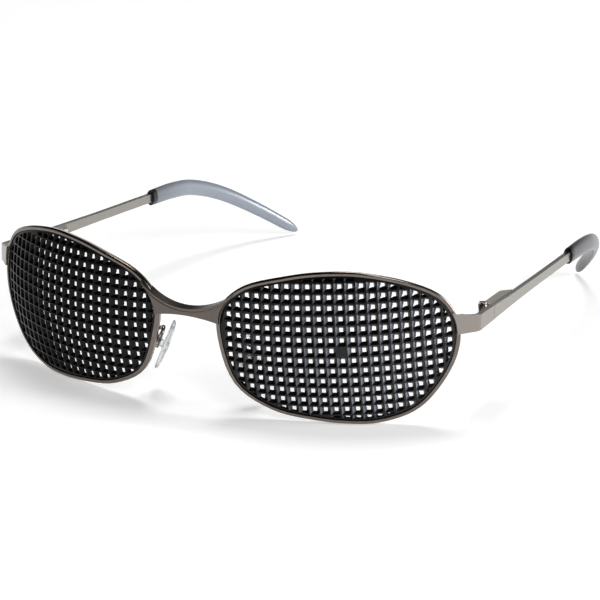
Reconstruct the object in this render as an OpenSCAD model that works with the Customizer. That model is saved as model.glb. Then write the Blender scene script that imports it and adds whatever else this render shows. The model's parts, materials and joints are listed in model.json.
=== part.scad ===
// Pinhole glasses: a full-rim metal frame, two moulded grille lenses and sprung folding temples.
// Millimetres, +Z up, -Y is the front, and X = 0 is the plane between the eyes.
// Each side piece is drawn once, for the +X side, and mirrored for the -X side.

/* [Lenses] */
// Radius of the ball that a lens is bent to, at the bottom of its cells
lens_r = 62.4; // [58:0.1:75]
// Width of the opening in a rim, along its curve
eye_w = 58.3; // [54:0.1:60]
// Height of the opening in a rim, along its curve
eye_h = 35.8; // [32:0.1:38]
// Distance from the middle plane to the pole of each lens
pole_x = 37; // [36.5:0.1:39]
// Turn of each lens towards the temples
wrap = 19; // [16:0.5:22]
// Middle of the opening, measured from the pole, out and up
eye_mid = [0.9, 3.8];

/* [Grille] */
// Distance from cell to cell
pitch = 2.6; // [2.4:0.1:3.2]
// Width of the ridge between two cells
ridge = 0.26; // [0.2:0.02:0.5]
// Height of the ridges above the bottom of the cells
ridge_h = 0.9; // [0.7:0.05:1.2]
// Thickness of the bottom that the holes go through
land = 0.12; // [0.1:0.02:0.3]
// Width and height of a hole
hole = [0.95, 1.04];
// Slant of the funnels, from the middle of the lens towards straight ahead
slant = 5; // [0:0.5:8]
// Width of the plain edge round the cells
edge_w = 0.16; // [0.12:0.02:0.4]
// Play of the lens in its rim
lens_play = 0.05; // [0.02:0.01:0.08]
// Shift and turn of the cells in the +X lens: out, up, degrees
grid_right = [-0.1, 1.3, 1.8];
// Shift and turn of the cells in the -X lens: out, up, degrees
grid_left = [0.55, 0.7, -2.4];

/* [Rims] */
// Width of the rim wire, across its front
rim_w = 1.1; // [0.9:0.05:1.4]
// Height of the rim's front above the bottom of the cells
rim_front = 1.3; // [1.2:0.05:1.6]
// Depth of the rim behind the bottom of the cells
rim_back = 0.4; // [0.3:0.05:0.8]
// Depth of the groove that holds the lens
groove_d = 0.5; // [0.3:0.05:0.6]
// Width of the groove at its mouth
groove_w = 0.9; // [0.7:0.05:1]
// Width of the cut where a rim opens
split_w = 0.16; // [0.1:0.02:0.3]

/* [Bridge] */
// Height of the bridge's lower edge above the poles, at the middle
bridge_z = 9.5; // [8:0.1:11]
// Height of the bridge's face at the middle
bridge_h = 1.8; // [1.4:0.1:2.6]
// Depth of the bridge, front to back
bridge_d = 2.6; // [2:0.1:3]
// Place of the bridge's front
bridge_y = -4.9; // [-5.2:0.1:-4.6]
// Radius of the bridge's bowed front
bridge_r = 47; // [40:1:60]

/* [Temples] */
// Place of the hinge pin, seen from the middle plane between the poles
hinge_at = [63.2, 29.1, 6.8];
// Fall of the temple towards the ear
temple_drop = 7.5; // [6.5:0.1:8.5]
// Inward slant of the temple
temple_in = 3.7; // [3:0.1:4.5]
// Distance from the hinge pin to the outer face
outer_x = 2.9; // [2.7:0.05:3.2]
// Thickness of the temple bar and the end piece
bar_t = 1.3; // [1.1:0.05:1.5]
// Height of the bar at the hinge
bar_h = 3.5; // [3.3:0.1:4]
// Height of the bar where it enters the tip
bar_tail_h = 2.3; // [2:0.1:2.8]
// Length from the hinge pin to the tip's collar
bar_l = 58.5; // [54:0.5:64]
// Gap between the end piece and the closed temple
seam = 0.1; // [0.06:0.02:0.2]
// Height and thickness of the tip at its collar
tip_size = [4.4, 2.6];
// Size of the core wire inside the tip
core_size = [1.6, 0.9];

/* [Hinge and spring] */
// Outer diameter of the knuckles
knuckle_d = 2.5; // [2.3:0.1:2.6]
// Diameter of the hinge screw
pin_d = 1.2; // [1:0.05:1.3]
// Height of the slider's eye
eye_z = 1.5; // [1.3:0.1:1.7]
// Gap above and below the eye
eye_gap = 0.03; // [0.02:0.01:0.06]
// Radial clearance of a turning pin
run = 0.03; // [0.02:0.01:0.06]
// Length of the spring box
box_l = 15; // [14.5:0.5:17]
// Start of the spring box behind the pin
box_y = 1.7; // [1.6:0.1:2]
// Height of the spring box
box_h = 2.9; // [2.8:0.1:3.3]
// Diameter of the spring's bore
bore_d = 2.1; // [2:0.05:2.2]
// Wire of the coil spring
wire_d = 0.34; // [0.3:0.01:0.36]
// Turns of the coil spring
turns = 8; // [6:1:9]

/* [Nose pads] */
// Middle of a pad
pad_at = [11.7, 5, -3.7];
// Length, width and thickness of a pad
pad_size = [14.5, 7.2, 2.6];
// Spread of the pads towards their lower ends
pad_spread = 25; // [20:1:30]
// Splay of the pads towards the face
pad_splay = 19; // [15:1:34]
// Thickness of the wire that carries a pad
arm_d = 1; // [0.8:0.1:1.2]

/* [Hidden] */
$fn = 48;
far = 80;

// Points that the opening runs through, in percent of its half width and half height
eye_shape = [[95, -16], [98, 26], [86, 63], [59, 86], [22, 100], [-10, 101], [-40, 94], [-76, 77],
    [-97, 46], [-99, 6], [-86, -55], [-56, -85], [-23, -95], [6, -100], [32, -100], [60, -87], [79, -59]];
// Places along that outline, counted in its points
lock_s = 1;
arm_s = 9.35;
steps = 5;
// Tilt that sets the rims and the tips down on one surface
rest_tilt = 5.1;

// Point on the smooth closed curve through p, s points along it
function closed_curve(p, s) =
    let (n = len(p), i = floor(s), f = s - i,
        a = p[(i + n - 1) % n], b = p[i % n], c = p[(i + 1) % n], d = p[(i + 2) % n])
    (2*b + (c - a)*f + (2*a - 5*b + 4*c - d)*f*f + (3*b - a - 3*c + d)*f*f*f) / 2;
// The same for an open curve, which ends at its first and last point
function open_curve(p, s) =
    let (n = len(p), i = min(floor(s), n - 2), f = s - i,
        b = p[i], c = p[i + 1], a = i > 0 ? p[i - 1] : 2*b - c, d = i < n - 2 ? p[i + 2] : 2*c - b)
    (2*b + (c - a)*f + (2*a - 5*b + 4*c - d)*f*f + (3*b - a - 3*c + d)*f*f*f) / 2;
function unit(v) = v / norm(v);
function turn_x(p, a) = [p.x, p.y*cos(a) - p.z*sin(a), p.y*sin(a) + p.z*cos(a)];
function turn_z(p, a) = [p.x*cos(a) - p.y*sin(a), p.x*sin(a) + p.y*cos(a), p.z];

// Place on the lens's ball, q along its curve from the pole and h above its cell bottoms
function on_ball(q, h) =
    let (l = max(norm(q), 0.0001), a = l / lens_r * 180 / PI, r = lens_r + h)
    [r*sin(a)*q.x/l, lens_r - r*cos(a), r*sin(a)*q.y/l];
// Corner of the opening's outline
function eye(s) =
    let (n = len(eye_shape), q = closed_curve(eye_shape, (s + n) % n) / 100)
    [eye_mid.x + q.x*eye_w/2, eye_mid.y + q.y*eye_h/2];

// Stations round a rim: place, direction out of the surface, direction away from the opening
stations = [for (i = [0:len(eye_shape)*steps - 1]) i / steps];
function face_dir(s) = unit(on_ball(eye(s), 0) - [0, lens_r, 0]);
function away_dir(s) = unit(cross(on_ball(eye(s + 0.02), 0) - on_ball(eye(s - 0.02), 0), face_dir(s)));
function rim_point(s, away, up) = on_ball(eye(s), 0) + away*away_dir(s) + up*face_dir(s);
place_of = [for (s = stations) on_ball(eye(s), 0)];
face_of = [for (s = stations) face_dir(s)];
away_of = [for (s = stations) away_dir(s)];

// From a lens's own frame to the frame of the whole front, and on to the hinge's frame
function to_front(p) = turn_z(p, wrap) + [pole_x, 0, 0];
function to_hinge(p) = turn_z(turn_x(p - hinge_at, temple_drop), -temple_in);
function from_hinge(p) = hinge_at + turn_x(turn_z(p, temple_in), -temple_drop);
function to_rest(p) = turn_x(p, rest_tilt);

module lens_frame() translate([pole_x, 0, 0]) rotate([0, 0, wrap]) children();
module hinge_frame() translate(hinge_at) rotate([-temple_drop, 0, temple_in]) children();

// Solid that follows a rim: profile points are [away from the opening, up from the cell bottoms]
module ring(profile) {
    m = len(profile);
    n = len(stations);
    polyhedron(
        [for (i = [0:n - 1]) for (q = profile) place_of[i] + q.x*away_of[i] + q.y*face_of[i]],
        [for (i = [0:n - 1]) for (j = [0:m - 1])
            let (a = i*m + j, b = i*m + (j + 1) % m, c = (i + 1) % n*m + (j + 1) % m, d = (i + 1) % n*m + j)
            each [[a, b, c], [a, c, d]]]);
}

// Plug of the opening, its edge moved by away, with walls square to the lens
module plug(away) {
    reach = 4;
    n = len(stations);
    middle = on_ball(eye_mid, 0);
    up = unit(middle - [0, lens_r, 0]);
    polyhedron(
        concat([for (i = [0:n - 1]) place_of[i] + away*away_of[i] - reach*face_of[i]],
            [for (i = [0:n - 1]) place_of[i] + away*away_of[i] + reach*face_of[i]],
            [middle - reach*up, middle + reach*up]),
        [for (i = [0:n - 1]) let (k = (i + 1) % n)
            each [[i, n + i, n + k], [i, n + k, k], [2*n + 1, n + k, n + i], [2*n, i, k]]]);
}

// Tube along a path, size [height, thickness] at each point, with round section
module tube(path, sizes, sides) {
    n = len(path);
    along = [for (i = [0:n - 1]) unit(path[min(i + 1, n - 1)] - path[max(i - 1, 0)])];
    side = [for (t = along) unit(cross(t, [0, 0, 1]))];
    polyhedron(
        concat([for (i = [0:n - 1]) for (j = [0:sides - 1])
            let (a = 360*j/sides, up = cross(side[i], along[i]))
            path[i] + sizes[i].y/2*cos(a)*side[i] + sizes[i].x/2*sin(a)*up],
            [path[0], path[n - 1]]),
        [for (j = [0:sides - 1]) let (k = (j + 1) % sides, e = (n - 1)*sides) each concat(
            [[n*sides, k, j], [n*sides + 1, e + j, e + k]],
            [for (i = [0:n - 2]) let (a = i*sides + j, b = i*sides + k) each
                [[a, b, b + sides], [a, b + sides, a + sides]]])]);
}

// Bridge
// Plate that lies over both rims and reaches their inner edges
function arc_z(x, end_x, end_z, mid_z) =
    let (h = end_z - mid_z, r = (end_x*end_x + h*h) / (2*abs(h)))
    mid_z + sign(h)*(r - sqrt(r*r - x*x));
module bridge() {
    end_x = 12.6;
    low_x = 8.9;
    rise = 4.6;
    line = [0.6, 0.82];
    function top(x) = arc_z(x, end_x, bridge_z + bridge_h + rise, bridge_z + bridge_h);
    module upright() rotate([90, 0, 0]) translate([0, 0, -20]) linear_extrude(40) children();
    module bent(from, to) translate([0, bridge_y + bridge_r, 0]) difference() {
        cylinder(h = far, r = to, center = true, $fn = 180);
        cylinder(h = 1.1*far, r = from, center = true, $fn = 180);
    }
    color("dimgray") difference() {
        intersection() {
            upright() polygon(concat([for (x = [-end_x:end_x/12:end_x]) [x, top(x)]],
                [for (x = [low_x:-low_x/8:-low_x]) [x, arc_z(x, low_x, bridge_z - 1.4, bridge_z)]]));
            bent(bridge_r - bridge_d, bridge_r);
        }
        // Line pressed in below the upper edge
        intersection() {
            upright() polygon(concat([for (x = [-end_x:end_x/12:end_x]) [x, top(x) - line[0]]],
                [for (x = [end_x:-end_x/12:-end_x]) [x, top(x) - line[1]]]));
            bent(bridge_r - 0.15, bridge_r + 2);
        }
        for (side = [0, 1]) mirror([side, 0, 0]) lens_frame() {
            rim_room();
            plug(0);
        }
    }
}
// Room that a rim and what lies behind it takes
module rim_room() ring([[-0.1, -5], [rim_w + 0.02, -5], [rim_w + 0.02, rim_front + 0.02], [-0.1, rim_front + 0.02]]);

// Rim
// Grooved wire round the lens, cut through behind the end piece so that the lens can go in
module rim() {
    e = 0.2;
    bend = 0.42;
    w = rim_w;
    f = rim_front;
    k = -rim_back;
    mid = (ridge_h - land) / 2;
    color("dimgray") lens_frame() difference() {
        ring([[0, k + e], [e, k], [w - e, k], [w, k + e],
            for (a = [0:30:90]) [w - bend + bend*cos(a), f - bend + bend*sin(a)],
            [e, f], [0, f - e],
            [0, mid + groove_w/2], [groove_d, mid + groove_w/4], [groove_d, mid - groove_w/4], [0, mid - groove_w/2]]);
        translate(rim_point(lock_s, rim_w/2, 0)) cube([6, 6, split_w], center = true);
    }
}

// Lens
// Bent black plate of square funnels, each ending in a hole, with a tongue that the groove holds
eye_line = [for (s = stations) eye(s)];
// Line that keeps a cell at q inside the outline: its inward normal in the cell's axes and its distance from q
function limit(q, turn) =
    let (far_from = [for (p = eye_line) norm(p - q)], n = len(eye_line), k = search(min(far_from), far_from)[0],
        along = unit(eye_line[(k + 1) % n] - eye_line[(k + n - 1) % n]), side = [-along.y, along.x],
        inward = side*(eye_mid - q) > 0 ? side : -side,
        next_to = [for (p = eye_line) if (abs((p - q)*along) < 0.8*pitch && norm(p - q) < 2*pitch) (p - q)*inward],
        v = to_grid(inward, -turn))
    [v.x, v.y, max(concat([(eye_line[k] - q)*inward], next_to)) + edge_w];
function to_grid(p, turn) = [p.x*cos(turn) - p.y*sin(turn), p.x*sin(turn) + p.y*cos(turn)];
// Outline across a funnel, from its mouth to its hole
module funnel(mouth, bottom, depth) polygon([[bottom, 2], [bottom, 0], [mouth, -depth], [mouth, -4],
    [-mouth, -4], [-mouth, -depth], [-bottom, 0], [-bottom, 2]]);
// Funnel at q, cut by the line that limit() gives where that crosses it
module cell(q, turn, cut) {
    neck = 0.1;
    wide = (on_ball(q + [pitch, 0], 0) - on_ball(q - [pitch, 0], 0))*[cos(slant), -sin(slant), 0] / 2;
    tall = (on_ball(q + [0, pitch], 0).z - on_ball(q - [0, pitch], 0).z) / 2;
    x = (wide - ridge) / 2;
    z = (tall - ridge) / 2;
    module whole() intersection() {
        translate([0, 0, -z]) linear_extrude(2*z) funnel(x, hole.x*wide/pitch/2, ridge_h - neck);
        rotate([0, 90, 0]) translate([0, 0, -x]) linear_extrude(2*x) funnel(z, hole.y*tall/pitch/2, ridge_h - neck);
    }
    reach = (pitch - ridge)/2*(abs(cut[0]) + abs(cut[1]));
    translate(on_ball(q, 0)) rotate([0, -turn, -slant])
        if (cut[2] < -reach) whole();
        else intersection() {
            m = [cut[0]*pitch/wide, cut[1]*pitch/tall];
            whole();
            rotate([0, -atan2(m.y, m.x), 0]) translate([cut[2]/norm(m), -2*pitch, -2*pitch]) cube(4*pitch);
        }
}
// Part of the ball's shell between two heights, cut to the outline moved by away
module shell(away, low, high) intersection() {
    translate([0, lens_r, 0]) difference() {
        sphere(r = lens_r + high, $fn = 320);
        sphere(r = lens_r + low, $fn = 320);
    }
    plug(away);
}
// Cells of a lens, each with the line that limits it
function cells(grid) =
    let (rows = ceil(eye_h / pitch), columns = ceil(eye_w / pitch), half = (pitch - ridge)/2, least = 0.6)
    [for (i = [-columns:columns]) for (j = [-rows:rows])
        let (q = to_grid([i*pitch + grid.x, j*pitch + grid.y], grid.z), cut = limit(q, grid.z))
        if (half*(abs(cut[0]) + abs(cut[1])) - cut[2] > least) [q, cut]];
module lens(grid) {
    mid = (ridge_h - land) / 2;
    color([0.08, 0.08, 0.08]) lens_frame() difference() {
        union() {
            shell(-lens_play, -land, ridge_h);
            shell(groove_d - lens_play, mid - groove_w/4 + lens_play, mid + groove_w/4 - lens_play);
        }
        for (c = cells(grid)) cell(c[0], grid.z, c[1]);
    }
}

// End piece
// Strip brazed over the rim's front, bent back to the hinge
rim_h = to_hinge(to_front(rim_point(lock_s, 0, rim_front + 0.5)));
away_h = to_hinge(to_front(rim_point(lock_s, 1, 0))) - to_hinge(to_front(rim_point(lock_s, 0, 0)));
leg_turn = atan2(away_h.y, away_h.x);
corner_y = rim_h.y + (outer_x - rim_h.x)*tan(leg_turn);
module end_piece() {
    bend_r = 2.4;
    h = bar_h / 2;
    color("silver") difference() {
        hinge_frame() intersection() {
            translate([0, 0, -10]) linear_extrude(20) difference() {
                bent_face(bend_r);
                offset(delta = -bar_t) bent_face(bend_r);
                translate([-far, -far]) square([far + outer_x - bar_t - 2.5*bend_r, 2*far]);
                translate([-far, 0]) square([2*far, far]);
            }
            rotate([90, 0, 90]) translate([0, 0, -20]) linear_extrude(40) polygon([
                [rim_h.y - 3, h + 2.4], [rim_h.y + 0.6, h + 0.5], [corner_y, h + 0.2], [1, h],
                [1, -h], [corner_y, -h - 0.3], [rim_h.y, -h - 0.75], [rim_h.y - 3, -h - 1.1]]);
        }
        lens_frame() {
            rim_room();
            plug(0);
        }
    }
}
module bent_face(r) offset(r = r) offset(delta = -r) polygon([
    [rim_h.x - 8, rim_h.y - 8*tan(leg_turn)], [outer_x, corner_y], [outer_x, 30], [-30, 30]]);

// Lock block and its screw
// Two half blocks on the rim's cut ends, drawn together by one screw
lock_h = to_hinge(to_front(rim_point(lock_s, 0, 0)));
lock_y = 0.75;
lock_x = 2.3;
lock_z = 1.45;
lock_d = 1.2;
module lock_frame() hinge_frame() translate(lock_h) rotate([0, 0, leg_turn]) children();
module lock_block() {
    size = [2.5, 2.2, lock_z];
    color("dimgray") difference() {
        lock_frame() difference() {
            for (up = [-1, 1]) translate([rim_w - 0.2 + size.x/2, lock_y, up*(split_w + size.z)/2]) hull() {
                translate([-size.x/4, 0, 0]) cube([size.x/2, size.y, size.z], center = true);
                translate([(size.x - size.y)/2, 0, 0]) cylinder(h = size.z, d = size.y, center = true, $fn = 32);
            }
            translate([lock_x, lock_y, 0]) cylinder(h = 20, d = lock_d + 0.02, center = true);
            translate([0, -rim_front - 0.5 + bar_t - 5.98, -10]) cube([10, 6, 20]);
        }
        lens_frame() rim_room();
    }
}
module lock_screw() color("silver") lock_frame() translate([lock_x, lock_y, 0])
    screw(lock_d, -lock_z, split_w/2 + lock_z, 1.8, 0.45);
// Screw along Z from one end of its shank to the other, its slotted head above
module screw(d, from, to, head_d, head_h) difference() {
    union() {
        translate([0, 0, from]) cylinder(h = to - from, d = d);
        translate([0, 0, to]) cylinder(h = head_h, d = head_d);
    }
    translate([-head_d, -0.12, to + head_h - 0.25]) cube([2*head_d, 0.24, 1]);
}

// Hinge fork and its screw
// Two knuckles brazed inside the end piece, and the screw that they carry
fork_top = eye_z/2 + eye_gap + 0.95;
module hinge_fork() {
    color("dimgray") hinge_frame() difference() {
        union() {
            for (up = [-1, 1]) translate([0, 0, up*(fork_top + eye_z/2 + eye_gap)/2]) {
                cylinder(h = fork_top - eye_z/2 - eye_gap, d = knuckle_d, center = true);
                translate([0, -3, 0]) translate([0, 0, -(fork_top - eye_z/2 - eye_gap)/2])
                    cube([outer_x - bar_t, 3, fork_top - eye_z/2 - eye_gap]);
            }
            translate([outer_x - bar_t - 0.9, -5, -fork_top]) cube([0.9, 3.4, 2*fork_top]);
        }
        cylinder(h = 20, d = pin_d + 2*run, center = true);
    }
}
module hinge_screw() color("silver") hinge_frame() screw(pin_d, -fork_top, fork_top, knuckle_d - 0.4, 0.5);

// Spring slider
// Eye on the hinge screw, with a rod into the box that the spring pulls at
box_mid = 0.15;
block_y = box_y + 0.3;
bush_y = block_y + 2.2 + 0.05;
bush_l = 0.8;
// Slope of the box's inner side at its far end, and the end of its bore
slope = 2.8;
bore_end = box_y + box_l - slope;
rod_end = bore_end - 1.1;
module spring_slider() color("silver") hinge_frame() difference() {
    union() {
        cylinder(h = eye_z, d = knuckle_d, center = true);
        translate([box_mid - 0.6, 0, -0.65]) cube([1.2, block_y + 0.5, 1.3]);
        translate([box_mid, block_y, 0]) rotate([-90, 0, 0]) cylinder(h = 2.2, d = bore_d - 0.1);
        translate([box_mid, block_y, 0]) rotate([-90, 0, 0]) cylinder(h = rod_end - block_y, d = 0.8);
        translate([box_mid, rod_end, 0]) rotate([-90, 0, 0]) cylinder(h = 0.8, d = bore_d - 0.2);
    }
    cylinder(h = 20, d = pin_d + 2*run, center = true);
}
// Ring fixed in the box, which the spring bears on
module guide_bush() color("silver") hinge_frame() translate([box_mid, bush_y, 0]) rotate([-90, 0, 0])
    difference() {
        cylinder(h = bush_l, d = bore_d);
        translate([0, 0, -1]) cylinder(h = bush_l + 2, d = 0.9);
    }
// Coil spring, between the bush and the end of the rod
module coil_spring() {
    r = (bore_d - wire_d)/2 - 0.05;
    y0 = bush_y + bush_l + wire_d/2 + 0.02;
    y1 = rod_end - wire_d/2 - 0.02;
    rings = 8*turns;
    sides = 6;
    centre = [for (i = [0:rings]) let (a = 360*i*turns/rings)
        [box_mid + r*cos(a), y0 + (y1 - y0)*i/rings, r*sin(a)]];
    color("gray") hinge_frame() polyhedron(
        concat([for (i = [0:rings]) for (j = [0:sides - 1]) let (a = 360*i*turns/rings, b = 360*j/sides)
            centre[i] + wire_d/2*[cos(b)*cos(a), sin(b), cos(b)*sin(a)]], [centre[0], centre[rings]]),
        [for (j = [0:sides - 1]) let (k = (j + 1) % sides, e = rings*sides, n = (rings + 1)*sides) each concat(
            [[n, k, j], [n + 1, e + j, e + k]],
            [for (i = [0:rings - 1]) let (a = i*sides + j, b = i*sides + k) each
                [[a, b, b + sides], [a, b + sides, a + sides]]])]);
}

// Spring box
// Hollow housing brazed on the temple's inner face
module spring_box() {
    wall_x = outer_x - bar_t;
    low_x = -1.15;
    r = 0.5;
    color("dimgray") hinge_frame() difference() {
        translate([0, box_y, 0]) intersection() {
            rotate([-90, 0, 0]) linear_extrude(box_l) translate([wall_x, 0]) difference() {
                offset(r = r) square([2*(wall_x - low_x) - 2*r, box_h - 2*r], center = true);
                translate([0, -5]) square([10, 10]);
            }
            translate([0, 0, -5]) linear_extrude(10) polygon([[low_x, 0], [low_x, box_l - slope],
                [wall_x, box_l], [wall_x, 0]]);
        }
        translate([box_mid, box_y - 1, 0]) rotate([-90, 0, 0]) cylinder(h = bore_end - box_y + 1, d = bore_d);
    }
}

// Temple
// Flat bar that tapers from the hinge to the tip and goes on inside it as a core wire
tip_path = [[2.2, bar_l + 0.02, 0], [2.2, bar_l + 11, -0.1], [1.7, bar_l + 21, -1.2], [-0.8, bar_l + 32.5, -4.9],
    [-5.7, bar_l + 44, -11.2], [-12.6, bar_l + 55, -18.9]];
function tip_at(s) = from_hinge(open_curve(tip_path, s)) - hinge_at;
// Station on that path where the core wire ends
core_end = 3.6;
module temple() {
    h = bar_h / 2;
    t = bar_tail_h / 2;
    color("silver") {
        hinge_frame() translate([outer_x - bar_t, 0, 0]) rotate([90, 0, 90]) linear_extrude(bar_t) polygon([
            [seam, h], [11, h - 0.35], [20, t + 0.12], [32, t], [bar_l, t],
            [bar_l, -t], [32, -t], [20, -t - 0.12], [11, -h + 0.3], [seam, -h]]);
        translate(hinge_at) tube([for (i = [-1:16]) i < 0 ? 1.1*tip_at(0) - 0.1*tip_at(1) : tip_at(core_end*i/16)],
            [for (i = [-1:16]) core_size], 8);
    }
}

// Temple tip
// Soft sleeve pushed over the core wire, curved down behind the ear
module temple_tip() {
    rings = 28;
    last = len(tip_path) - 1;
    // Swells behind the collar, then narrows to a rounded end
    function swell(s) = 1 + 0.06*sin(180*min(s/2, 1)) - 0.3*pow(max(0, s - 2)/3, 1.4);
    function round_end(s) = sqrt(max(0.02, 1 - pow(max(0, (s - last + 0.35)/0.35), 2)));
    color([0.45, 0.46, 0.5]) translate(hinge_at) difference() {
        tube([for (i = [0:rings]) tip_at(last*end_step(i/rings))],
            [for (i = [0:rings]) let (s = last*end_step(i/rings)) tip_size*swell(s)*round_end(s)], 16);
        tube([for (i = [-1:16]) i < 0 ? 2*tip_at(0) - tip_at(0.5) : tip_at((core_end + 0.05)*i/16)],
            [for (i = [-1:16]) core_size + [0.04, 0.04]], 8);
    }
}
// Spreads the rings so that they crowd towards the end
function end_step(f) = 1 - pow(1 - f, 1.5);

// Nose pad, its arm and its screw
module pad_frame() translate(pad_at) rotate([0, -pad_spread, 0]) rotate([0, 0, -pad_splay]) children();
function pad_point(p) =
    let (q = turn_z(p, -pad_splay), a = pad_spread)
    pad_at + [q.x*cos(a) - q.z*sin(a), q.y, q.x*sin(a) + q.z*cos(a)];
rock_x = 2.2;
pad_pin_d = 0.9;
box_pad = [2.2, 2.3, 2.2];
module pad_arm() {
    root = to_front(rim_point(arm_s, rim_w*0.6, -rim_back + 0.02));
    path = [root, root + [-0.9, 1.3, 0.9], root + [-0.7, 2.9, 1.9], root + [0.3, 4.2, 1.6],
        pad_point([rock_x + 1.4, -0.6, 3]), pad_point([rock_x + 0.9, 0, 0.9])];
    color("dimgray") difference() {
        union() {
            tube([for (i = [0:20]) open_curve(path, 5*i/20)], [for (i = [0:20]) [arm_d, arm_d]], 10);
            pad_frame() translate([rock_x, 0, 0]) cube(box_pad, center = true);
        }
        pad_frame() {
            translate([-2, -0.42, -2]) cube([rock_x + 2.8, 0.84, 4]);
            translate([rock_x, 0, 0]) rotate([90, 0, 0]) cylinder(h = 10, d = pad_pin_d + 2*run, center = true);
        }
        lens_frame() ring([[-0.1, -rim_back - 0.02], [rim_w + 0.1, -rim_back - 0.02],
            [rim_w + 0.1, rim_front], [-0.1, rim_front]]);
    }
}
module pad_screw() color("silver") pad_frame() translate([rock_x, 0, 0]) rotate([90, 0, 0])
    screw(pad_pin_d, -box_pad.y/2, box_pad.y/2, 1.5, 0.4);
module nose_pad() {
    rings = 14;
    half = pad_size.x / 2;
    function at(i) = -half*cos(180*i/rings);
    function bulge(i) = pow(max(0.003, 1 - pow(abs(at(i))/half, 2.4)), 0.5);
    color([0.85, 0.87, 0.88, 0.6]) pad_frame() {
        rotate([0, 0, 90]) upright_tube([for (i = [0:rings]) at(i)],
            [for (i = [0:rings]) [pad_size.y*bulge(i), pad_size.z*pow(bulge(i), 0.7)]], 18);
        difference() {
            translate([0, -0.36, -0.9]) cube([rock_x + 0.6, 0.72, 1.8]);
            translate([rock_x, 0, 0]) rotate([90, 0, 0])
                cylinder(h = 10, d = pad_pin_d + 2*run, center = true);
        }
    }
}
// Upright solid with oval sections, flatter on its -Y half
module upright_tube(heights, sizes, sides) {
    n = len(heights);
    polyhedron(
        concat([for (i = [0:n - 1]) for (j = [0:sides - 1]) let (a = 360*j/sides, flat = sin(a) < 0 ? 0.35 : 1)
            [sizes[i].x/2*cos(a), sizes[i].y/2*sin(a)*flat, heights[i]]], [[0, 0, heights[0]], [0, 0, heights[n - 1]]]),
        [for (j = [0:sides - 1]) let (k = (j + 1) % sides, e = (n - 1)*sides) each concat(
            [[n*sides, j, k], [n*sides + 1, e + k, e + j]],
            [for (i = [0:n - 2]) let (a = i*sides + j, b = i*sides + k) each
                [[a, b + sides, b], [a, a + sides, b + sides]]])]);
}

// Setting down
// Lowest point of the rims, and the middle between the bridge's front and the tips' ends
stand_up = -min([for (s = stations) for (up = [-rim_back, rim_front]) to_rest(to_front(rim_point(s, rim_w, up))).z]);
tip_end = to_rest(from_hinge(tip_path[5]));
stand_back = -(tip_end.y + 1 + to_rest([0, bridge_y, bridge_z]).y) / 2;
module placed(side) translate([0, stand_back, stand_up]) rotate([rest_tilt, 0, 0])
    if (side > 0) children(); else mirror([1, 0, 0]) children();

placed(1) bridge();
placed(1) rim();  // right_rim
placed(-1) rim();  // left_rim
placed(1) lens(grid_right);  // right_lens
placed(-1) lens(grid_left);  // left_lens
placed(1) lock_block();  // right_lock_block
placed(-1) lock_block();  // left_lock_block
placed(1) lock_screw();  // right_lock_screw
placed(-1) lock_screw();  // left_lock_screw
placed(1) end_piece();  // right_end_piece
placed(-1) end_piece();  // left_end_piece
placed(1) hinge_fork();  // right_hinge_fork
placed(-1) hinge_fork();  // left_hinge_fork
placed(1) hinge_screw();  // right_hinge_screw
placed(-1) hinge_screw();  // left_hinge_screw
placed(1) spring_slider();  // right_spring_slider
placed(-1) spring_slider();  // left_spring_slider
placed(1) coil_spring();  // right_coil_spring
placed(-1) coil_spring();  // left_coil_spring
placed(1) guide_bush();  // right_guide_bush
placed(-1) guide_bush();  // left_guide_bush
placed(1) spring_box();  // right_spring_box
placed(-1) spring_box();  // left_spring_box
placed(1) temple();  // right_temple
placed(-1) temple();  // left_temple
placed(1) temple_tip();  // right_temple_tip
placed(-1) temple_tip();  // left_temple_tip
placed(1) pad_arm();  // right_pad_arm
placed(-1) pad_arm();  // left_pad_arm
placed(1) pad_screw();  // right_pad_screw
placed(-1) pad_screw();  // left_pad_screw
placed(1) nose_pad();  // right_nose_pad
placed(-1) nose_pad();  // left_nose_pad
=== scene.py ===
"""Pinhole glasses: black moulded grilles in a gunmetal wire frame with sprung temples.

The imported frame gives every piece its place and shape. The sections below follow the glasses
as they are put together, and give each piece its edges and its finish.
Metres, +Z up, -Y is the front, and the right side is +X.
"""
import json
import math

import bmesh
import bpy
from mathutils import Matrix, Vector


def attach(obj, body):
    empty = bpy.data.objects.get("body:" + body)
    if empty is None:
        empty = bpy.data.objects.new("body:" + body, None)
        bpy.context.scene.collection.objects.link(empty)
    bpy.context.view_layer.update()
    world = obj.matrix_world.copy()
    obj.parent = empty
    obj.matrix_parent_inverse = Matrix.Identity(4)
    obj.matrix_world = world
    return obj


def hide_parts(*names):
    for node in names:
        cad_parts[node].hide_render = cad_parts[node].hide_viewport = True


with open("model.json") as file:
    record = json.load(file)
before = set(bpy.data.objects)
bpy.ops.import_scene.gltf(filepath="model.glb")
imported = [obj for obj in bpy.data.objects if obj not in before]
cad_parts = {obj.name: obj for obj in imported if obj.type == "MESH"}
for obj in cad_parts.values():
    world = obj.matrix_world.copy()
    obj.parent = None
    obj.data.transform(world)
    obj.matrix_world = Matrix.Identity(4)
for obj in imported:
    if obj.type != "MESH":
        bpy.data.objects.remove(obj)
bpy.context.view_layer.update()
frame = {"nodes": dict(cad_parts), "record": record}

# Camera
# A long lens in front of the glasses, a little to the right of them and above them.
# Its place, in mm, and its angles were fitted to the rows of holes in both lenses.
MM = 0.001
EYE = Vector((333.3, -670.1, 248.1)) * MM
AZIMUTH, ELEVATION, ROLL = 26.85, 17.86, -0.17
FOCAL_LENGTH, SENSOR_WIDTH = 180, 36
camera_data = bpy.data.cameras.new("camera")
camera_data.sensor_width = SENSOR_WIDTH
camera_data.lens = FOCAL_LENGTH
camera_data.clip_start = 10 * MM
camera = bpy.data.objects.new("camera", camera_data)
bpy.context.scene.collection.objects.link(camera)
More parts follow.
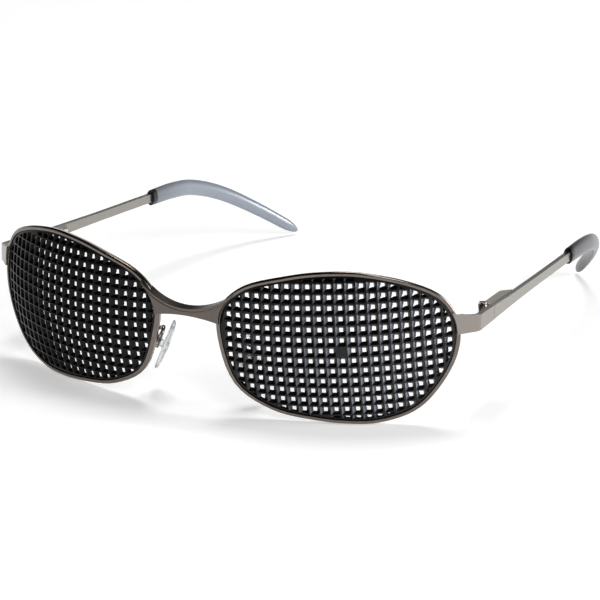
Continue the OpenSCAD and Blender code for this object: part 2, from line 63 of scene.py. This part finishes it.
camera.matrix_world = (
    Matrix.Translation(EYE)
    @ Matrix.Rotation(math.radians(AZIMUTH), 4, "Z")
    @ Matrix.Rotation(math.radians(90 - ELEVATION), 4, "X")
    @ Matrix.Rotation(math.radians(ROLL), 4, "Z")
)
bpy.context.scene.camera = camera
bpy.context.scene.view_settings.view_transform = "Standard"

# Floor
# A seamless sheet of matt white paper under the glasses, which keeps their shadow.
# A faint glow of its own keeps it white as far as the view goes.
FLOOR_HALF, FLOOR_LEVEL = 6.0, -0.05 * MM
PAPER, PAPER_GLOW = "#e4e4e4", 0.4


def linear(hex_colour):
    """sRGB hex such as '#8a8f94' as the linear colour that a socket takes."""
    parts = [int(hex_colour[i : i + 2], 16) / 255 for i in (1, 3, 5)]
    return [c / 12.92 if c <= 0.04045 else ((c + 0.055) / 1.055) ** 2.4 for c in parts] + [1]


def add(tree, kind, settings=None, **sockets):
    """Adds a node: settings are its own values, and a socket takes a value or another's output.

    A socket goes by its name with _ for a space, or by its number after a _.
    """
    node = tree.nodes.new(kind)
    for name, value in (settings or {}).items():
        setattr(node, name, value)
    for name, value in sockets.items():
        socket = node.inputs[int(name[1:]) if name[1:].isdigit() else name.replace("_", " ")]
        if isinstance(value, bpy.types.NodeSocket):
            tree.links.new(value, socket)
        else:
            socket.default_value = value
    return node


seamless_paper = bpy.data.materials.new("seamless paper, matt white")
seamless_paper.use_nodes = True
t = seamless_paper.node_tree
t.nodes.clear()
paper = add(t, "ShaderNodeBsdfDiffuse", Color=linear(PAPER))
glow = add(t, "ShaderNodeEmission", Color=linear("#ffffff"), Strength=PAPER_GLOW)
both = add(t, "ShaderNodeAddShader", _0=paper.outputs[0], _1=glow.outputs[0])
add(t, "ShaderNodeOutputMaterial", Surface=both.outputs[0])
corners = [(-1, -1), (1, -1), (1, 1), (-1, 1)]
sheet = bpy.data.meshes.new("floor")
places = [(x * FLOOR_HALF, y * FLOOR_HALF, FLOOR_LEVEL) for x, y in corners]
sheet.from_pydata(places, [], [(0, 1, 2, 3)])
sheet.materials.append(seamless_paper)
floor = bpy.data.objects.new("floor", sheet)
bpy.context.scene.collection.objects.link(floor)

# Light
# A studio with white walls behind and to the right of the glasses, grey towards the camera, and
# dark overhead, so that the metal shows pale and dark bands.
# Three square lamps of one size: low on the right, in front and on top.
FAR_WALL, CAMERA_WALL, CEILING = "#ffffff", "#777472", "#1d1b1a"
WALL_FOOT, WALL_HEAD = 0.02, 0.3  # sines of the heights between which wall turns to ceiling
RIGHTWARD = 0.7  # how much of the right side counts as far wall
CAMERA_END, FAR_END = -0.8, 0.3
LAMP_SIZE = 0.6
LAMP_AIM = Vector((0, 0, 0.02))
LAMPS = {
    "right": ((1.3, 0.3, 0.42), 15),
    "front": ((1.0, -1.0, 1.1), 9),
    "top": ((-0.1, 0.5, 1.6), 14),
}
studio = bpy.data.worlds.new("studio")
studio.use_nodes = True
bpy.context.scene.world = studio
t = studio.node_tree
t.nodes.clear()
way = add(t, "ShaderNodeTexCoord")
split = add(t, "ShaderNodeSeparateXYZ", Vector=way.outputs["Generated"])
overhead = add(
    t, "ShaderNodeMapRange", {"interpolation_type": "SMOOTHSTEP"},
    Value=split.outputs["Z"], From_Min=WALL_FOOT, From_Max=WALL_HEAD,
)
away = add(
    t, "ShaderNodeMath", {"operation": "MULTIPLY_ADD"},
    _0=split.outputs["X"], _1=RIGHTWARD, _2=split.outputs["Y"],
)
behind = add(
    t, "ShaderNodeMapRange", {"interpolation_type": "SMOOTHSTEP"},
    Value=away.outputs[0], From_Min=CAMERA_END, From_Max=FAR_END,
)
walls = add(
    t, "ShaderNodeMix", {"data_type": "RGBA"},
    _0=behind.outputs[0], _6=linear(CAMERA_WALL), _7=linear(FAR_WALL),
)
room = add(
    t, "ShaderNodeMix", {"data_type": "RGBA"},
    _0=overhead.outputs[0], _6=walls.outputs[2], _7=linear(CEILING),
)
sky = add(t, "ShaderNodeBackground", Color=room.outputs[2], Strength=1.0)
add(t, "ShaderNodeOutputWorld", Surface=sky.outputs[0])
for name, (place, power) in LAMPS.items():
    data = bpy.data.lights.new(name, "AREA")
    data.size = LAMP_SIZE
    data.energy = power
    lamp = bpy.data.objects.new(name, data)
    lamp.location = place
    lamp.rotation_euler = (Vector(place) - LAMP_AIM).to_track_quat("Z", "Y").to_euler()
    bpy.context.scene.collection.objects.link(lamp)

# Lenses
# Each is a bent grille of square funnels with a hole at the bottom of each one, injection
# moulded in black ABS, with a tongue round it that sits in the rim's groove.
SIDES = ("right", "left")
NOISE_LOW, NOISE_HIGH = 0.3, 0.7
GRAIN_DEPTH = 0.02 * MM


def finish(name, colour, rough, metal, grain, bump, vary, stretch=(1, 1, 1), **sockets):
    """Material from its surface: grain is its texture's size in mm, vary how much its tone changes.

    Real grains of these finishes are under 0.1 mm. They are drawn coarser, so that they show.
    """
    m = bpy.data.materials.new(name)
    m.use_nodes = True
    t = m.node_tree
    t.nodes.clear()
    place = add(t, "ShaderNodeTexCoord")
    scale = [s / (grain * MM) for s in stretch]
    sized = add(t, "ShaderNodeMapping", Vector=place.outputs["Object"], Scale=scale)
    noise = add(
        t, "ShaderNodeTexNoise", Vector=sized.outputs[0], Scale=1.0, Detail=3.0, Roughness=0.6
    )
    dim = add(
        t, "ShaderNodeMapRange", Value=noise.outputs[0],
        From_Min=NOISE_LOW, From_Max=NOISE_HIGH, To_Min=1 - vary, To_Max=1 + vary,
    )
    tone = add(
        t, "ShaderNodeMix", {"data_type": "RGBA", "blend_type": "MULTIPLY"},
        _0=1.0, _6=linear(colour), _7=dim.outputs[0],
    )
    gloss = add(
        t, "ShaderNodeMapRange", Value=noise.outputs[0],
        From_Min=NOISE_LOW, From_Max=NOISE_HIGH,
        To_Min=rough * (1 - vary), To_Max=rough * (1 + vary),
    )
    raised = add(t, "ShaderNodeBump", Height=noise.outputs[0], Strength=bump, Distance=GRAIN_DEPTH)
    shader = add(
        t, "ShaderNodeBsdfPrincipled",
        Base_Color=linear(colour), Metallic=metal, Roughness=rough, **sockets,
    )
    t.links.new(tone.outputs[2], shader.inputs["Base Color"])
    t.links.new(gloss.outputs[0], shader.inputs["Roughness"])
    t.links.new(raised.outputs[0], shader.inputs["Normal"])
    add(t, "ShaderNodeOutputMaterial", Surface=shader.outputs[0])
    return m


def dress(node, material):
    """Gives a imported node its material."""
    mesh = frame["nodes"][node].data
    mesh.materials.clear()
    mesh.materials.append(material)
    for face in mesh.polygons:
        face.material_index = 0


# A polished mould leaves deep black faces. Light is painted into them: a painted sheen, stronger
# towards the lamp on the right, and a painted highlight that makes the funnel walls there which
# face that lamp as pale as bare metal.
LENS_BLACK, LENS_PAINTED_HIGHLIGHT = "#070608", "#b4b6c2"
# Painted sheen: its strength in the specular level, from the left across to the right.
PAINTED_SHEEN_FROM, PAINTED_SHEEN_TO = (-60 * MM, 0.1), (60 * MM, 0.38)  # a place across, and the strength there
# Painted highlight: how strongly right-facing walls are painted pale, from the middle to the right.
LIT_FROM, LIT_TO = (5 * MM, 0.03), (60 * MM, 1.0)
WALL_SIDEWAYS, WALL_FACING = 0.72, 0.88  # how far to the right a wall that is lit must face
black_abs = finish(
    "black ABS, moulded", LENS_BLACK, rough=0.26, metal=0.0, grain=0.35, bump=0.1, vary=0.08
)
t = black_abs.node_tree
shader = t.nodes["Principled BSDF"]
solid = add(t, "ShaderNodeTexCoord")
across = add(t, "ShaderNodeSeparateXYZ", Vector=solid.outputs["Object"])
facing = add(t, "ShaderNodeSeparateXYZ", Vector=solid.outputs["Normal"])
# A painted sheen, stronger towards the right of the lenses.
painted_sheen = add(
    t, "ShaderNodeMapRange", Value=across.outputs["X"],
    From_Min=PAINTED_SHEEN_FROM[0], From_Max=PAINTED_SHEEN_TO[0], To_Min=PAINTED_SHEEN_FROM[1], To_Max=PAINTED_SHEEN_TO[1],
)
right_wall = add(
    t, "ShaderNodeMapRange", Value=facing.outputs["X"],
    From_Min=WALL_SIDEWAYS, From_Max=WALL_FACING,
)
near_lamp = add(
    t, "ShaderNodeMapRange", Value=across.outputs["X"],
    From_Min=LIT_FROM[0], From_Max=LIT_TO[0], To_Min=LIT_FROM[1], To_Max=LIT_TO[1],
)
# A painted highlight: walls that face right, on the right, are painted pale and metallic.
lit = add(
    t, "ShaderNodeMath", {"operation": "MULTIPLY"},
    _0=right_wall.outputs[0], _1=near_lamp.outputs[0],
)
tone = add(
    t, "ShaderNodeMix", {"data_type": "RGBA"},
    _0=lit.outputs[0], _6=shader.inputs["Base Color"].links[0].from_socket, _7=linear(LENS_PAINTED_HIGHLIGHT),
)
t.links.new(tone.outputs[2], shader.inputs["Base Color"])
t.links.new(lit.outputs[0], shader.inputs["Metallic"])
t.links.new(painted_sheen.outputs[0], shader.inputs["Specular IOR Level"])
for side in SIDES:
    dress(f"{side}_lens", black_abs)

# Rims
# Grooved nickel silver wire bent round each lens, with its cut ends soldered to the lock block,
# then polished and plated.
WELD = 0.001 * MM  # corners closer than this are joined
FLAT = 0.4  # degrees between faces that become one
EDGE_STEPS, EDGE_FULLNESS = 3, 0.6


def body_of(node):
    """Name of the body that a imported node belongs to."""
    groups = frame["record"]["behaviour"]["bodies"]
    return next(name for name, members in groups.items() if node in members)


def smooth_piece(node, material, edge=0.0, crease=35):
    """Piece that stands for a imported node: its mesh with smooth faces and edges rounded by edge mm.

    Faces that meet at more than crease degrees keep their edge.
    """
    mesh = frame["nodes"][node].data.copy()
    mesh.materials.clear()
    mesh.materials.append(material)
    b = bmesh.new()
    b.from_mesh(mesh)
    bmesh.ops.remove_doubles(b, verts=b.verts, dist=WELD)
    bmesh.ops.dissolve_limit(b, angle_limit=math.radians(FLAT), verts=b.verts, edges=b.edges)
    if edge:
        turn = math.radians(crease)
        sharp = [e for e in b.edges if len(e.link_faces) == 2 and e.calc_face_angle() > turn]
        bmesh.ops.bevel(
            b, geom=sharp, offset=edge * MM, offset_type="OFFSET",
            segments=EDGE_STEPS, profile=EDGE_FULLNESS, affect="EDGES", clamp_overlap=True,
        )
    for face in b.faces:
        face.smooth = True
        face.material_index = 0
    b.to_mesh(mesh)
    b.free()
    mesh.set_sharp_from_angle(angle=math.radians(crease))
    piece = bpy.data.objects.new(node + "_piece", mesh)
    piece.modifiers.new("flat faces stay flat", "WEIGHTED_NORMAL").keep_sharp = True
    bpy.context.scene.collection.objects.link(piece)
    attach(piece, body_of(node))
    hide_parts(node)
    return piece


# Polished plate is a dark mirror, broken only by the faint swirls of the mop.
gunmetal = finish(
    "gunmetal plate, polished", "#766e68", rough=0.16, metal=1.0, grain=1.2, bump=0.06, vary=0.1
)
for side in SIDES:
    smooth_piece(f"{side}_rim", gunmetal, crease=50)

# Bridge
# Stamped nickel silver plate, brazed over the front of both rims.
# The tumbling barrel leaves its flat face satin, so it shows an even brown grey.
satin_gunmetal = finish(
    "gunmetal plate, satin", "#68605b", rough=0.3, metal=1.0, grain=0.5, bump=0.12, vary=0.08
)
smooth_piece("bridge", satin_gunmetal, edge=0.12)

# End pieces, lock blocks and their screws
# Each end piece is a stamped strip brazed to the rim and bent back to the hinge. Behind it a
# screw draws the two half blocks on the rim's cut ends together, and so holds the lens.
# Linishing leaves the strip pale and softly glossy, and turning leaves the steel bright.
linished_gunmetal = finish(
    "gunmetal plate, linished", "#958e88", rough=0.25, metal=1.0, grain=0.3, bump=0.04, vary=0.03
)
steel = finish("steel, turned", "#c4c0bb", rough=0.22, metal=1.0, grain=0.25, bump=0.1, vary=0.08)
for side in SIDES:
    smooth_piece(f"{side}_end_piece", linished_gunmetal, edge=0.14)
    smooth_piece(f"{side}_lock_block", gunmetal, edge=0.08)
    smooth_piece(f"{side}_lock_screw", steel, edge=0.04)

# Hinges
# A plated fork brazed inside the end piece, the turned slider's eye between its knuckles, and
# a slotted steel screw for the pin.
for side in SIDES:
    smooth_piece(f"{side}_hinge_fork", gunmetal, edge=0.06)
    smooth_piece(f"{side}_hinge_screw", steel, edge=0.04)
    smooth_piece(f"{side}_spring_slider", steel, edge=0.05)

# Spring boxes
# A milled housing brazed to the temple's inner face, closed over a turned bush and a spring
# wound from drawn steel wire.
# The cutter leaves the housing pale and dull, and the wire is a duller grey than the bush.
milled_gunmetal = finish(
    "gunmetal plate, milled", "#cfcbbe", rough=0.4, metal=1.0, grain=0.4, bump=0.1, vary=0.08
)
spring_steel = finish(
    "spring steel, drawn", "#8d8a86", rough=0.3, metal=1.0, grain=0.2, bump=0.08, vary=0.06
)
for side in SIDES:
    smooth_piece(f"{side}_spring_box", milled_gunmetal, edge=0.12)
    dress(f"{side}_guide_bush", steel)
    smooth_piece(f"{side}_coil_spring", spring_steel)

# Temples
# Flat nickel silver bar, rolled and tapered, that goes on as the tip's core wire.
# The belt runs along it, so its pale sheen is drawn out lengthwise.
ALONG_BELT = (1, 0.06, 1)
brushed_gunmetal = finish(
    "gunmetal plate, linished along", "#98948e", rough=0.27, metal=1.0,
    grain=0.35, bump=0.05, vary=0.03, stretch=ALONG_BELT,
)
for side in SIDES:
    smooth_piece(f"{side}_temple", brushed_gunmetal, edge=0.14)

# Temple tips
# Moulded sleeves of soft grey cellulose plastic, pushed over the core wire.
# Pearl flakes give them a metallic sheen. Each is darker towards its start, and darkest in a thin
# black band right at it. Light and shade are painted into their colours: the left one is painted
# paler and the right one darker, as the side in view of the left one is turned to the lamp.
# Painted light and shade: one finish, with the left sleeve's colour painted paler, the right darker.
PEARL_PAINTED_LIGHT = {"right": "#5d5e61", "left": "#8d939c"}
OUTWARD = {"right": -1, "left": 1}
START_BAND, START_BAND_END, DARK_RUN = 1.5 * MM, 2.1 * MM, 18 * MM
START_BAND_TONE, START_TONE = 0.1, 0.6
for side in SIDES:
    pearl = finish(
        f"cellulose sleeve, pearl grey, {side}", PEARL_PAINTED_LIGHT[side], rough=0.3, metal=0.35,
        grain=0.3, bump=0.06, vary=0.05,
    )
    tip = smooth_piece(f"{side}_temple_tip", pearl, crease=50)
    along = Vector((0.0645 * OUTWARD[side], 0.997, -0.0418))
    start = min(along.dot(v.co) for v in tip.data.vertices)
    t = pearl.node_tree
    shader = t.nodes["Principled BSDF"]
    way = add(
        t, "ShaderNodeVectorMath", {"operation": "DOT_PRODUCT"},
        _0=add(t, "ShaderNodeTexCoord").outputs["Object"], _1=along,
    )
    # Darker over the first DARK_RUN of the sleeve, and darkest in a thin band at its very start.
    toward_start = add(
        t, "ShaderNodeMapRange", Value=way.outputs["Value"],
        From_Min=start, From_Max=start + DARK_RUN, To_Min=START_TONE,
    )
    start_band = add(
        t, "ShaderNodeMapRange", Value=way.outputs["Value"],
        From_Min=start + START_BAND, From_Max=start + START_BAND_END, To_Min=START_BAND_TONE,
    )
    dark = add(
        t, "ShaderNodeMath", {"operation": "MULTIPLY"}, _0=toward_start.outputs[0], _1=start_band.outputs[0]
    )
    tone = add(
        t, "ShaderNodeMix", {"data_type": "RGBA", "blend_type": "MULTIPLY"},
        _0=1.0, _6=shader.inputs["Base Color"].links[0].from_socket, _7=dark.outputs[0],
    )
    t.links.new(tone.outputs[2], shader.inputs["Base Color"])

# Nose pads
# Moulded silicone on a bent wire arm, held in the arm's box by a small screw.
# It is clear and glossy, with the shallow waves that a soft moulding has.
silicone = finish(
    "silicone, clear", "#eef2f3", rough=0.12, metal=0.0,
    grain=0.8, bump=0.04, vary=0.04, Transmission_Weight=0.85, IOR=1.43,
)
for side in SIDES:
    smooth_piece(f"{side}_pad_arm", gunmetal, crease=50)
    smooth_piece(f"{side}_pad_screw", steel, edge=0.03)
    smooth_piece(f"{side}_nose_pad", silicone, crease=50)
